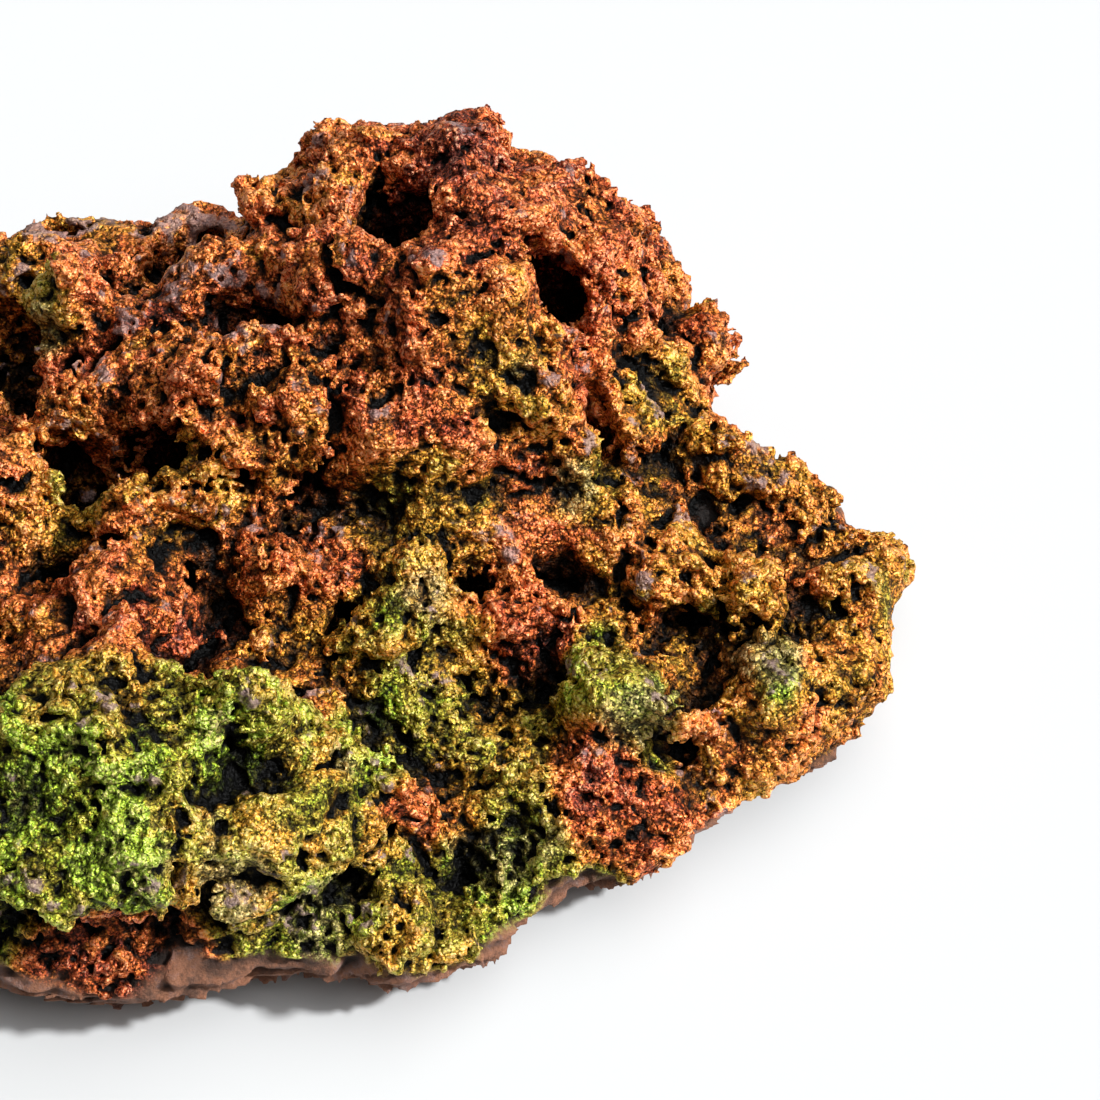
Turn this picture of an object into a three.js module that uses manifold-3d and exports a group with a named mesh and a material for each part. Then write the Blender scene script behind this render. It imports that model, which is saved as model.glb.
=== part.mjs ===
// Rough goethite: one broken, hand-size piece of iron ore that lies on its flat side.
// A porous, knobbly crust grows over a dull, massive body. The crust stands up as a tall mound at the back,
// a second rise at the front left, and a lower slab that runs out to a blunt point at the right.
// The body is written as a distance field in millimetres (negative inside), the field is meshed with one
// vertex in each lattice cell that it crosses, and its lowest part is then cut flat where it rests.
// X runs along the length, Y from front to back, Z up, with the origin under the middle of the piece.
import * as THREE from 'three';
import { ImprovedNoise } from 'three/addons/math/ImprovedNoise.js';
import { mergeVertices } from 'three/addons/utils/BufferGeometryUtils.js';
import Module from 'manifold-3d';

const wasm = await Module();
wasm.setup();

// ---- driving dimensions, millimetres ----
const LATTICE_PITCH = 2.5; // size of the mesh cells
const CELL_MARGIN = 0.02 * LATTICE_PITCH; // each vertex stays this far inside its own cell
const STRAY = 0.3; // a vertex farther than this from the surface is drawn back among its neighbours
const REACH = { x: 60, y: 43, low: -6, high: 44 }; // box that the field is sampled in
const FRONT_WIDEST = 6; // height of the widest line of the side at the front edge
const BACK_WIDEST = 15; // the same at the back edge
const UNDERCUT = 6; // how far the side draws in from there to the ground
const CRUST_LEAN = 0.35; // how much the side leans in above the widest line
const RIM_ROUND = 3; // blend between the side and the top of the slab
const UNDERSIDE = -0.8; // mean level of the rough underside before it is cut flat
const UNDERSIDE_SWELL = 1.6; // its unevenness
const UNDERSIDE_SPACING = 17; // distance between its swells
const UNDERSIDE_BLEND = 1.5;
const MOUND_BLEND = 4;
const LUMP_BLEND = 1.4;
const HOLLOW_BLEND = 0.9;
const LEDGE_BLEND = 0.6;
const CRUST_KNOB = 6; // spacing of the crust's unnamed knobs
const CRUST_RELIEF = 3; // from the bottom of a crease to the top of a knob
const CREASE_SHARE = 0.6; // how much of that lies below the general surface
const FINER_KNOBS = 1.9; // how many times closer together the second set of knobs lies
const KNOB_RISE = 2.6; // how steeply a knob rises out of its crease
const FINER_KNOB_RISE = 1.3; // the same for the second set
const CRUST_FROM = 6; // height where the crust begins to take over from the broken sides
const CRUST_FULL = 13; // height where it has done so
const BROKEN_KNOB = 11; // spacing of the unevenness of the broken sides
const BROKEN_RELIEF = 0.9;
const BED_STRETCH = 1.6; // how much flatter than wide that unevenness is
const FINER_BREAKS = 2.3; // how many times closer together the second set of breaks lies
const BED_SPACING = 3; // height of one bed of the broken sides
const WARP_SPACING = 9; // spacing of the bends that make the named masses irregular
const WARP = 3; // how far those bends push a point
const FAR = 6; // beyond this a feature has no effect on the surface
const BARELY_SOLID = -0.02; // field value given to a corner that is filled
const SLOPE_STEP = 0.15; // half the distance over which the slope of the field is taken
const FLATTEST = 0.2; // slopes are taken as no flatter than this, so that no vertex is thrown far
const RELAX_ROUNDS = 8;
const RELAX_SHARE = 0.6; // how far a vertex moves towards the middle of its neighbours each round

// Edge of the piece seen from above, counter-clockwise from the front left.
const OUTLINE = [
  [-36, -36], [-30, -38.5], [-23.5, -37.5], [-19, -39.2], [-12, -39.8], [-7.5, -37], [-3, -36.7], [3, -37],
  [9.5, -37.2], [16.8, -35.9], [21.2, -32.2], [24.2, -28.8], [31.3, -29], [36, -23.9], [39.8, -20.4],
  [47, -17.8],
  [50.3, -14], [52.4, -11], [53.5, -5.5], [55.3, 0.4], [53.2, 5.9], [46.8, 9], [40.3, 10.3], [35.6, 12.2],
  [36, 16], [38.2, 21], [34.6, 23], [32.6, 26], [31.2, 32.5], [27, 34.6], [22.5, 36.2], [15, 38.2],
  [4.5, 38], [-0.5, 35], [-5, 33], [-10, 33], [-16, 33.6], [-22, 31.8], [-29, 32], [-36, 29],
  [-43, 26.5], [-47, 20], [-52.5, 14], [-53.5, 5], [-55, -4], [-52.5, -13], [-50, -22], [-43.5, -29],
];

// Height of the slab's top: x, y, height, reach.
const SLAB_HEIGHTS = [
  [50, -4, 10, 5], [47, 3, 11.5, 5], [43, -9, 13, 6], [38, 8, 14.5, 6], [31, 0, 14.5, 6], [35, -12, 12, 6],
  [29, -15, 13, 5], [33, -22, 9, 5], [27, -23, 11, 5], [19, -27, 9.5, 5], [21, -18, 11.5, 5],
  [12, -32, 10.5, 6],
  [3, -35, 10, 5], [12, -23, 11, 5], [23, -2, 14.5, 6], [13, -2, 18, 6], [13, -10, 15.5, 5], [4, -9, 15.5, 5],
  [0, -3, 18, 6], [-14, -9, 19.5, 6], [-12, 0, 20, 5], [-24, 3, 21, 7], [-22, 12, 16, 4], [-9, 5, 18, 5],
  [-22, 29, 17, 6], [-8, 31, 15, 5], [-13, 20, 21, 5], [-14, -38.5, 8.5, 2.5], [-3, -37, 9, 3],
  [-26, -38, 9, 3],
  [2, -22, 17, 5], [-36, -8, 20, 8], [-38, 12, 19, 8], [-47, 0, 15, 7], [-45, -18, 14, 7], [-37, 25, 13, 6],
  [20, 6, 17.5, 6], [30, 12, 16, 6], [-30, -20, 22, 7], [5, 5, 18, 5],
];

// Rounded masses, each x, y, z of its middle, its three half sizes, and its turn about Z in degrees.
const MOUNDS = [
  [16, 19.5, 12, 18, 16.5, 23.5, 6], // the tall mound
  [11, 29, 20, 11, 7.5, 11, 5], // its back edge
  [3.5, 26, 12, 10, 10, 17.5, 30], // its left shoulder
  [6, 17.5, 14, 11, 10.5, 19.5, 0], // the slope between the two
  [14, 12, 14, 12, 9, 20, 0], // the bulge below its top
  [1.5, 12.5, 13, 11, 9.5, 19, 8], // its front shoulder
  [-8, 12, 12, 8, 8, 16.5, -10], // the knob left of that
  [23, 24, 9, 10.5, 11, 17, -30], // its right shoulder
  [-14, 13.5, 12, 7.5, 7, 16, -20], // low ridge running left
  [-14, -25, 10, 14.5, 10, 18, 4], // the front left rise
  [-13, -30, 12, 12.5, 6.5, 15, 4], // its front edge
  [1.5, -25.5, 8, 9, 8.5, 13.5, 0], // its right foot
  [-27, -24, 9, 12, 12, 17, -15], // its run into the left end
  [-31, 8, 8, 10, 12, 14, 0],
  [-36, -5, 6, 12, 12, 15.5, 20],
];

// Smaller lumps on them, given in the same way.
const LUMPS = [
  [12, 30.2, 31, 8, 4, 4, 4], [4, 33.5, 24.5, 5, 4, 5.5, 15], [14, 33.5, 25, 5.5, 3.4, 5, -5],
  [21, 32.6, 24.2, 4.5, 3.2, 4.4, -15], [28.4, 31.5, 19.5, 3.6, 3.4, 4.5, 0], [26, 25, 21, 3.6, 7.5, 8, 12],
  [29, 25.5, 14, 3.6, 5.5, 6.5, 0], [12, 15, 32, 5, 4, 4.5, 0], [19, 15, 31, 4, 4.5, 5, 0],
  [5.5, 18, 30, 4, 4.5, 4.5, 0], [2, 10, 27.5, 4.5, 4, 4.5, 0], [-6, 10.5, 25, 4, 3.8, 5, 0],
  [20.5, 9, 26, 4.2, 4, 5, 0], [11.5, 8.5, 26.5, 4, 3.6, 4.5, 0], [0.5, 27, 25.5, 5, 5.5, 5, 30],
  [31.5, 14.5, 17, 5, 5.5, 5, 0], [37.2, 21, 15.5, 3.4, 3, 4, 0], [33.6, 14, 14, 3, 3, 4.5, 0],
  [0, 4.5, 23, 4, 3.6, 4, 0], [6.5, 4.5, 24, 3.6, 3.6, 4, 0], [15.5, 4, 23, 4, 3.6, 4, 0],
  [22, 5, 21, 3.6, 3.4, 4, 0], [-6, 5, 22.5, 3.8, 3.4, 3.6, 0], [28, 10.5, 17.5, 4, 3.6, 4, 0],
  [3, 2, 18.5, 4, 3.4, 3.4, 0], [10.5, 2.5, 18.8, 3.8, 3.2, 3.4, 0], [17.5, 1, 17, 3.2, 2.8, 3.2, 0],
  [-8, 31, 16.5, 4.5, 2.6, 4, 0], [-14, 17, 25, 8, 3, 3.6, -12], [-14, 9, 23, 4, 3.4, 4, 0],
  [-18.5, 11.5, 22.5, 3.4, 3.6, 4, 0], [1.5, 31.5, 23, 4, 4, 4.5, 0], [-9, 7, 22.5, 3.4, 3.2, 4, 0],
  [-12, -1.5, 20, 5.5, 3.6, 4.5, 10], [-14, -10, 19.5, 5, 4, 4.5, 0],
  [-20, -13.5, 19, 4.5, 4.5, 4, 0], [-23, 3, 21, 4.5, 5.5, 5, 0], [-1, -4.5, 18, 3.8, 3.2, 4, 0],
  [3.5, -4.5, 17.5, 3.2, 2.8, 4, 20], [13, -2.5, 18, 4.5, 4, 4, 0], [26.5, 3.5, 15.5, 3.6, 3.2, 4, 0],
  [14, -8, 15.5, 4, 3, 3.5, 0], [8, -12, 15, 3.6, 3.4, 4, 0], [20, -9, 14.5, 4.5, 3.4, 3.5, 0],
  [32, -2, 13.5, 3.6, 4.4, 3.6, 20], [39, 8.4, 13, 5, 3, 3.2, -30], [48.5, -2, 10.5, 4, 5, 3.6, 10],
  [41.5, -12, 12.5, 3.6, 3.6, 3.6, 0], [40.5, -5, 13, 3.6, 3.4, 3.2, 0], [45, 3.4, 12, 4.5, 3, 3, -35],
  [28, -22.5, 10.5, 5.5, 3.2, 3.6, 15], [18, -22, 11, 3.4, 3.4, 3.6, 0], [12, -24, 10.5, 3, 2.8, 3.6, 0],
  [20.5, -28, 7.5, 4.5, 3, 3.4, 25], [10.5, -33.5, 7.5, 6.5, 4, 5, 0], [2, -33, 9, 5, 3.6, 4.5, 15],
  [-16, -33, 20.5, 5.5, 4, 6.5, 0], [-9, -32.5, 20, 4.5, 4, 6, 0], [-4, -23, 23, 4, 3.6, 5, 0],
  [-22.5, -32, 20, 5.5, 4.5, 6.5, 0], [-2.5, -31.5, 15.5, 4.2, 3.8, 5, 0], [3, -26, 18, 3.6, 3.6, 4.5, 0],
  [-11, -20, 23, 4, 3.6, 5, 0], [-29, -30, 19, 5, 4.5, 5, 0], [-33, -18, 20, 5.5, 5, 5, 0],
  [-15, -28, 26, 4.5, 4, 3.6, 0], [-8, -26, 25, 4, 3.6, 3.6, 0], [-20, -24, 25.5, 4, 4.2, 3.6, 0],
  [-41, -10, 17, 5, 6, 5.5, 0], [-32, 3, 19.5, 5.5, 5, 4.5, 0], [-35, 16, 18, 5.5, 5, 5, 0],
  [-43, 6, 16.5, 5, 5.5, 5, 0], [-49, -2, 11, 4, 5, 5, 0], [-44, -20, 12, 4.5, 4.5, 4.5, 0],
  [-40, -29, 9, 5, 4, 6, 20], [-33, -35, 8, 6, 4, 5, 0], [-47, 15, 9, 5, 5, 6, 0], [-50, -14, 8, 4, 5, 5, 0],
];

// Hollows between them, given in the same way.
const HOLLOWS = [
  [9.5, 23, 29.5, 4.5, 3, 7.5, 12], [20.5, 26, 28, 2.6, 4.5, 8, 20], [23, 18.5, 26, 2.6, 6, 9, 12],
  [24.5, 12, 20.5, 2.6, 3.6, 5, -10], [-2.5, 14.5, 27, 4.5, 2.8, 6, -10], [-8.5, 6, 20, 3, 2.6, 4.5, 0],
  [-23.5, 14, 19.5, 3, 6.5, 9, 20], [-18.5, 4, 18, 5, 3, 6.5, -35], [-12, 3.4, 19, 4, 2.6, 5, -15],
  [-8.5, 28.4, 19, 4.5, 2.4, 3.6, 0], [14, -6, 13.5, 3, 2.4, 4.5, 0], [20, 3.4, 15, 4.5, 2.4, 4.5, 10],
  [21.5, -4.8, 14, 3.6, 2.4, 3, 0], [24, -13.5, 12, 2.4, 3.4, 3, 20], [37, 3.6, 14, 3.6, 2.5, 3.4, -25],
  [46, -4, 12.5, 2.6, 3.6, 3, 10], [46.5, -11, 11.5, 3, 2.6, 3.2, 30], [35, -15, 12, 2.6, 3.6, 3, -25],
  [8.5, -21, 11.5, 2.6, 2.6, 4, 0], [-9, -37.5, 13, 9, 2.4, 4, -3], [3.5, -33, 14, 3, 2.4, 4, 10],
  [16, -28.4, 9.5, 4.5, 2.4, 3.5, 15], [-18, -5.5, 19, 4.5, 2.6, 4.5, 0], [5, -9.5, 16, 2.6, 2.8, 4.5, 0],
  [19, -13, 12.5, 2.6, 2.6, 3.4, 0], [-4.5, -9.5, 19, 3.4, 2.6, 4.5, 15],
  [-9.5, -14, 19.5, 4.5, 2.6, 4.5, 10], [-21.5, -20.5, 24, 2.6, 3.4, 5, 0], [26.5, 7, 15, 3.4, 2.5, 4, 10],
  [36, -6, 13.5, 2.5, 3, 3.2, 15], [33, -18.8, 10.5, 4, 2.5, 3, 25], [-28, -11, 22, 4.5, 2.6, 6, 25],
  [-36, 10, 19, 3, 4, 6, 0], [-39, -3, 19, 2.8, 4, 5.5, 15], [-28, 18, 18, 4.5, 2.8, 5, 0],
  [-37, -21, 18, 3.4, 2.8, 5, -30], [-48, 8, 13.5, 3, 3, 4.5, 0], [-36, -33, 15, 4, 4, 3.4, 15],
  [-29, -37, 13, 5, 3, 3, 0], [-45, -25, 14, 4, 4, 3, 40], [-52, 4, 8, 3, 5, 3, 0],
];

// Thin broken layers: x, y, z of the middle, half length, half depth, half thickness, then turn about Z and
// rise to the right and to the back, in degrees.
const LEDGES = [
  [-20, 27.8, 18.2, 10, 4.5, 1.5, 3, 0, 4], [-11, 31, 14.5, 9, 3.6, 1.4, -2, 0, 0],
  [-31, 27.5, 14.5, 9, 5, 1.5, -10, 0, 0], [-24, 24, 21.5, 8, 3, 1.3, 6, 0, 12],
  [-4, 21, 26.5, 6, 2.6, 1.3, 20, 6, 18], [29, -15, 14, 6.5, 4, 1.6, -22, 0, -8],
  [24, -0.5, 16, 6.5, 3, 1.6, 12, 0, -14], [37.6, 9, 14.6, 4, 2.6, 1.2, -25, 0, 8],
  [-14, -37, 7.5, 12, 3.2, 2, -2, 0, 0], [-34, -35, 8, 9, 4, 2.2, -14, 0, 0],
  [22, -28.2, 6, 7, 3, 1.8, 22, 0, 0],
];

const noise = new ImprovedNoise();

/** Smooth union of two distances; blend is the width of the fillet between them. */
function smoothMin(a, b, blend) {
  const h = Math.max(blend - Math.abs(a - b), 0) / blend;
  return Math.min(a, b) - h * h * blend * 0.25;
}

const smoothMax = (a, b, blend) => -smoothMin(-a, -b, blend);

/** Distance from a plan point to the outline, negative inside it. */
function outlineDistance(x, y) {
  let nearest = Infinity;
  let inside = false;
  let [bx, by] = OUTLINE[OUTLINE.length - 1];
  for (const [ax, ay] of OUTLINE) {
    const alongX = bx - ax;
    const alongY = by - ay;
    const t = ((x - ax) * alongX + (y - ay) * alongY) / (alongX * alongX + alongY * alongY);
    const clamped = THREE.MathUtils.clamp(t, 0, 1);
    const offX = x - ax - clamped * alongX;
    const offY = y - ay - clamped * alongY;
    nearest = Math.min(nearest, offX * offX + offY * offY);
    if (ay > y !== by > y && x < ax + ((y - ay) / alongY) * alongX) inside = !inside;
    [bx, by] = [ax, ay];
  }
  return inside ? -Math.sqrt(nearest) : Math.sqrt(nearest);
}

/** Height of the slab's top at a plan point, blended between the named heights. */
function slabHeight(x, y) {
  let total = 1e-9;
  let weighted = 15e-9;
  for (const [spotX, spotY, height, reach] of SLAB_HEIGHTS) {
    const weight = Math.exp(-((x - spotX) ** 2 + (y - spotY) ** 2) / (2 * reach * reach));
    total += weight;
    weighted += weight * height;
  }
  return weighted / total;
}

/** The slab: a rim that is undercut towards the ground and leans in above its widest line. */
function slabDistance(x, y, z) {
  const backward = (y + REACH.y) / (2 * REACH.y);
  const widest = THREE.MathUtils.lerp(FRONT_WIDEST, BACK_WIDEST, backward);
  const drawnIn = UNDERCUT * (Math.max(widest - z, 0) / widest) ** 2;
  const leaning = CRUST_LEAN * Math.max(z - widest, 0);
  const side = outlineDistance(x, y) + drawnIn + leaning;
  return smoothMax(side, z - slabHeight(x, y), RIM_ROUND);
}

/** A field function for one ellipsoid, about true close to its surface and simply FAR elsewhere. */
function ellipsoid([atX, atY, atZ, halfX, halfY, halfZ, turn]) {
  const cos = Math.cos(THREE.MathUtils.degToRad(turn));
  const sin = Math.sin(THREE.MathUtils.degToRad(turn));
  const reach = Math.max(halfX, halfY, halfZ) + FAR;
  return (x, y, z) => {
    const [offX, offY, offZ] = [x - atX, y - atY, z - atZ];
    if (offX * offX + offY * offY + offZ * offZ > reach * reach) return FAR;
    const alongX = (offX * cos + offY * sin) / halfX;
    const alongY = (offY * cos - offX * sin) / halfY;
    const alongZ = offZ / halfZ;
    const scaled = Math.sqrt(alongX ** 2 + alongY ** 2 + alongZ ** 2);
    const steepness = Math.sqrt((alongX / halfX) ** 2 + (alongY / halfY) ** 2 + (alongZ / halfZ) ** 2);
    return (scaled * (scaled - 1)) / Math.max(steepness, 1e-6);
  };
}

/** A field function for one flat layer with rounded edges. */
function layer([atX, atY, atZ, halfX, halfY, halfZ, turn, riseRight, riseBack]) {
  const degrees = THREE.MathUtils.degToRad;
  const pose = new THREE.Euler(degrees(riseBack), degrees(-riseRight), degrees(turn), 'ZYX');
  const toLocal = new THREE.Matrix4().makeRotationFromEuler(pose).invert();
  const point = new THREE.Vector3();
  const reach = Math.max(halfX, halfY) + FAR;
  return (x, y, z) => {
    point.set(x - atX, y - atY, z - atZ);
    if (point.lengthSq() > reach * reach) return FAR;
    point.applyMatrix4(toLocal);
    const plan = Math.sqrt((point.x / halfX) ** 2 + (point.y / halfY) ** 2);
    const side = (plan - 1) * Math.min(halfX, halfY);
    return smoothMax(side, Math.abs(point.z) - halfZ, 1);
  };
}

const mounds = MOUNDS.map(ellipsoid);
const lumps = LUMPS.map(ellipsoid);
const hollows = HOLLOWS.map(ellipsoid);
const ledges = LEDGES.map(layer);

/** Relief of the crust: round knobs with creases between them. */
function crustRelief(x, y, z) {
  const s = CRUST_KNOB;
  const coarse = noise.noise(x / s, y / s, z / s);
  const fine = noise.noise(x / s * FINER_KNOBS + 7, y / s * FINER_KNOBS + 3, z / s * FINER_KNOBS + 5);
  const rise = Math.abs(coarse) * KNOB_RISE + Math.abs(fine) * FINER_KNOB_RISE;
  return CRUST_RELIEF * (Math.tanh(rise) - CREASE_SHARE);
}

/** Relief of the broken sides and underside: flatter and longer. */
function brokenRelief(x, y, z) {
  const s = BROKEN_KNOB;
  const wide = noise.noise(x / s, y / s, z / s * BED_STRETCH);
  const narrow = noise.noise(x / s * FINER_BREAKS, y / s * FINER_BREAKS, z / BED_SPACING);
  return BROKEN_RELIEF * (wide + 0.5 * narrow);
}

/** Pushes a point about, so that what is looked up there comes out irregular. */
function bend(x, y, z) {
  const s = WARP_SPACING;
  return [
    x + WARP * noise.noise(x / s + 31, y / s, z / s),
    y + WARP * noise.noise(x / s, y / s + 47, z / s),
    z + WARP * noise.noise(x / s, y / s, z / s + 59),
  ];
}

/** The whole piece. */
function specimen(x, y, z) {
  const bent = bend(x, y, z);
  let distance = slabDistance(x, y, z);
  for (const mound of mounds) distance = smoothMin(distance, mound(...bent), MOUND_BLEND);
  for (const lump of lumps) distance = smoothMin(distance, lump(...bent), LUMP_BLEND);
  for (const ledge of ledges) distance = smoothMin(distance, ledge(x, y, z), LEDGE_BLEND);
  for (const hollow of hollows) distance = smoothMax(distance, -hollow(...bent), HOLLOW_BLEND);
  const crusted = THREE.MathUtils.smoothstep(z, CRUST_FROM, CRUST_FULL);
  distance -= crusted * crustRelief(x, y, z) + (1 - crusted) * brokenRelief(x, y, z);
  const swell = noise.noise(x / UNDERSIDE_SPACING, y / UNDERSIDE_SPACING, 0.5);
  return smoothMax(distance, UNDERSIDE + UNDERSIDE_SWELL * swell - z, UNDERSIDE_BLEND);
}

// ---- lattice ----
const cells = {
  x: Math.ceil((2 * REACH.x) / LATTICE_PITCH),
  y: Math.ceil((2 * REACH.y) / LATTICE_PITCH),
  z: Math.ceil((REACH.high - REACH.low) / LATTICE_PITCH),
};
const stride = { x: 1, y: cells.x + 1, z: (cells.x + 1) * (cells.y + 1) };
const cornerCount = stride.z * (cells.z + 1);
const cornerSteps = [0, 1, 2, 3, 4, 5, 6, 7].map((corner) => cornerStep(corner));

function cornerStep(corner) {
  return (corner & 1) * stride.x + ((corner >> 1) & 1) * stride.y + (corner >> 2) * stride.z;
}

/** Place of a lattice corner in millimetres. */
function cornerPlace(index) {
  const i = index % stride.y;
  const j = Math.floor(index / stride.y) % (cells.y + 1);
  const k = Math.floor(index / stride.z);
  return [i * LATTICE_PITCH - REACH.x, j * LATTICE_PITCH - REACH.y, k * LATTICE_PITCH + REACH.low];
}

function sampleField() {
  const samples = new Float64Array(cornerCount);
  for (let index = 0; index < cornerCount; index += 1) samples[index] = specimen(...cornerPlace(index));
  return samples;
}

/** Calls visit with the first corner of every cell. */
function eachCell(visit) {
  for (let k = 0; k < cells.z; k += 1) {
    for (let j = 0; j < cells.y; j += 1) {
      for (let i = 0; i < cells.x; i += 1) visit(i + j * stride.y + k * stride.z);
    }
  }
}

/** Fills the corners that would let two sheets touch at an edge or a point, so the mesh stays closed. */
function fillTouchingSheets(samples) {
  const solid = (index) => samples[index] < 0;
  const fill = (a, b) => {
    const shallow = samples[a] < samples[b] ? a : b;
    samples[shallow] = BARELY_SOLID;
  };
  let changed = true;
  const squares = [[stride.x, stride.y], [stride.y, stride.z], [stride.x, stride.z]];
  const mendCell = (base) => {
    for (const [u, v] of squares) {
      const [a, b, c, d] = [base, base + u, base + v, base + u + v];
      if (solid(a) !== solid(d) || solid(b) !== solid(c) || solid(a) === solid(b)) continue;
      if (solid(a)) fill(b, c);
      else fill(a, d);
      changed = true;
    }
    const solids = cornerSteps.filter((step) => solid(base + step)).length;
    if (solids !== 2 && solids !== 6) return;
    for (let corner = 0; corner < 4; corner += 1) {
      const [a, b] = [base + cornerSteps[corner], base + cornerSteps[7 - corner]];
      if (solid(a) !== solid(b) || solid(a) !== (solids === 2)) continue;
      if (solid(a)) fill(base + cornerSteps[corner ^ 1], base + cornerSteps[corner ^ 2]);
      else fill(a, b);
      changed = true;
    }
  };
  while (changed) {
    changed = false;
    eachCell(mendCell);
  }
}

/** One vertex in each crossed cell, and one four-sided face across each crossed lattice edge. */
function surfaceNet(samples) {
  const vertexOfCell = new Map();
  const vertices = [];
  eachCell((base) => {
    const solids = cornerSteps.filter((step) => samples[base + step] < 0).length;
    if (solids === 0 || solids === 8) return;
    vertexOfCell.set(base, vertices.length);
    const [x, y, z] = cornerPlace(base);
    const home = new THREE.Vector3(x, y, z);
    const half = LATTICE_PITCH / 2;
    vertices.push({ home, place: home.clone().addScalar(half) });
  });
  const faces = [];
  const { x: right, y: back, z: up } = stride;
  const axes = [[right, back, up], [back, up, right], [up, right, back]];
  eachCell((base) => {
    for (const [along, u, v] of axes) {
      const starts = samples[base] < 0;
      if (starts === samples[base + along] < 0) continue;
      const ring = [base, base - u, base - u - v, base - v].map((cell) => vertexOfCell.get(cell));
      faces.push(starts ? ring : ring.reverse());
    }
  });
  return { vertices, faces };
}

/** Keeps the largest connected body and drops loose crumbs and sealed pockets. */
function keepLargest({ vertices, faces }) {
  const group = vertices.map((_, index) => index);
  const root = (index) => {
    let at = index;
    while (group[at] !== at) at = group[at];
    return at;
  };
  for (const face of faces) {
    for (const corner of face) group[root(corner)] = root(face[0]);
  }
  const sizes = new Map();
  for (const face of faces) sizes.set(root(face[0]), (sizes.get(root(face[0])) ?? 0) + 1);
  const largest = [...sizes.keys()].reduce((best, key) => (sizes.get(key) > sizes.get(best) ? key : best));
  return { vertices, faces: faces.filter((face) => root(face[0]) === largest) };
}

/** Direction in which the field grows, scaled by its steepness. */
function gradient({ x, y, z }) {
  const e = SLOPE_STEP;
  return new THREE.Vector3(
    specimen(x + e, y, z) - specimen(x - e, y, z),
    specimen(x, y + e, z) - specimen(x, y - e, z),
    specimen(x, y, z + e) - specimen(x, y, z - e),
  ).divideScalar(2 * e);
}

/** Moves a vertex towards the surface of the field. */
function settle({ home, place }) {
  const slope = gradient(place);
  const steepness = Math.max(slope.lengthSq(), FLATTEST);
  const step = THREE.MathUtils.clamp(-specimen(place.x, place.y, place.z) / steepness, -1, 1);
  place.addScaledVector(slope, step);
  keepInCell({ home, place });
}

/** Holds a vertex in its own cell, so that no two faces can cross. */
function keepInCell({ home, place }) {
  const low = home.clone().addScalar(CELL_MARGIN);
  const high = home.clone().addScalar(LATTICE_PITCH - CELL_MARGIN);
  place.clamp(low, high);
}

/** Spaces the vertices evenly along the surface, then sets each one on it. */
function relax({ vertices, faces }) {
  for (let round = 0; round < RELAX_ROUNDS; round += 1) {
    const sums = vertices.map(() => ({ total: new THREE.Vector3(), count: 0 }));
    for (const face of faces) {
      face.forEach((vertex, corner) => {
        const next = face[(corner + 1) % 4];
        sums[vertex].total.add(vertices[next].place);
        sums[vertex].count += 1;
      });
    }
    vertices.forEach((vertex, index) => {
      if (sums[index].count === 0) return;
      const middle = sums[index].total.divideScalar(sums[index].count);
      vertex.place.lerp(middle, RELAX_SHARE);
      settle(vertex);
      settle(vertex);
      if (Math.abs(specimen(...vertex.place.toArray())) > STRAY) vertex.place.copy(middle);
      keepInCell(vertex);
    });
  }
}

/** Closed solid from the net: each four-sided face is split along its shorter diagonal. */
function solidOf({ vertices, faces }) {
  const triangles = [];
  for (const [a, b, c, d] of faces) {
    const place = (vertex) => vertices[vertex].place;
    if (place(a).distanceTo(place(c)) < place(b).distanceTo(place(d))) triangles.push(a, b, c, a, c, d);
    else triangles.push(a, b, d, b, c, d);
  }
  const used = new Map();
  const vertProperties = [];
  const triVerts = triangles.map((vertex) => {
    if (!used.has(vertex)) {
      used.set(vertex, used.size);
      vertProperties.push(...vertices[vertex].place.toArray());
    }
    return used.get(vertex);
  });
  return manifoldOf(vertProperties, triVerts);
}

function manifoldOf(vertProperties, triVerts) {
  return new wasm.Manifold(new wasm.Mesh({
    numProp: 3,
    vertProperties: new Float32Array(vertProperties),
    triVerts: new Uint32Array(triVerts),
  }));
}

/** Everything below the ground plane. */
function belowGround() {
  const depth = -2 * REACH.low;
  const box = new THREE.BoxGeometry(3 * REACH.x, 3 * REACH.y, depth);
  box.translate(0, 0, -depth / 2);
  box.deleteAttribute('normal');
  box.deleteAttribute('uv');
  const merged = mergeVertices(box);
  return manifoldOf(merged.attributes.position.array, merged.index.array);
}

function geometryOf(solid) {
  const mesh = solid.getMesh();
  const geometry = new THREE.BufferGeometry();
  geometry.setAttribute('position', new THREE.BufferAttribute(new Float32Array(mesh.vertProperties), 3));
  geometry.setIndex(new THREE.BufferAttribute(new Uint32Array(mesh.triVerts), 1));
  return geometry;
}

/** Puts the origin under the middle of the piece. */
function centre(geometry) {
  geometry.computeBoundingBox();
  const middle = geometry.boundingBox.getCenter(new THREE.Vector3());
  geometry.translate(-middle.x, -middle.y, 0);
  geometry.computeVertexNormals();
}

function buildSpecimen() {
  const samples = sampleField();
  fillTouchingSheets(samples);
  const net = keepLargest(surfaceNet(samples));
  relax(net);
  const solid = solidOf(net).subtract(belowGround());
  const material = new THREE.MeshStandardMaterial({ color: 0x8a4f28, roughness: 0.5, metalness: 0.45 });
  const geometry = geometryOf(solid);
  centre(geometry);
  const mesh = new THREE.Mesh(geometry, material);
  mesh.name = 'goethite_specimen';
  return mesh;
}

const goethite = new THREE.Group();
goethite.add(buildSpecimen());

export default goethite;
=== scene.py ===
"""Rough goethite: the fine surface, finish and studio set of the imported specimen, laid out as an add-on.

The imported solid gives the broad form. Its distance field is read on a fine grid, where the porous crust, its
hollows and the broken body below it are carved, and the surface of that grid is the specimen.
"""

from types import SimpleNamespace

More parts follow.
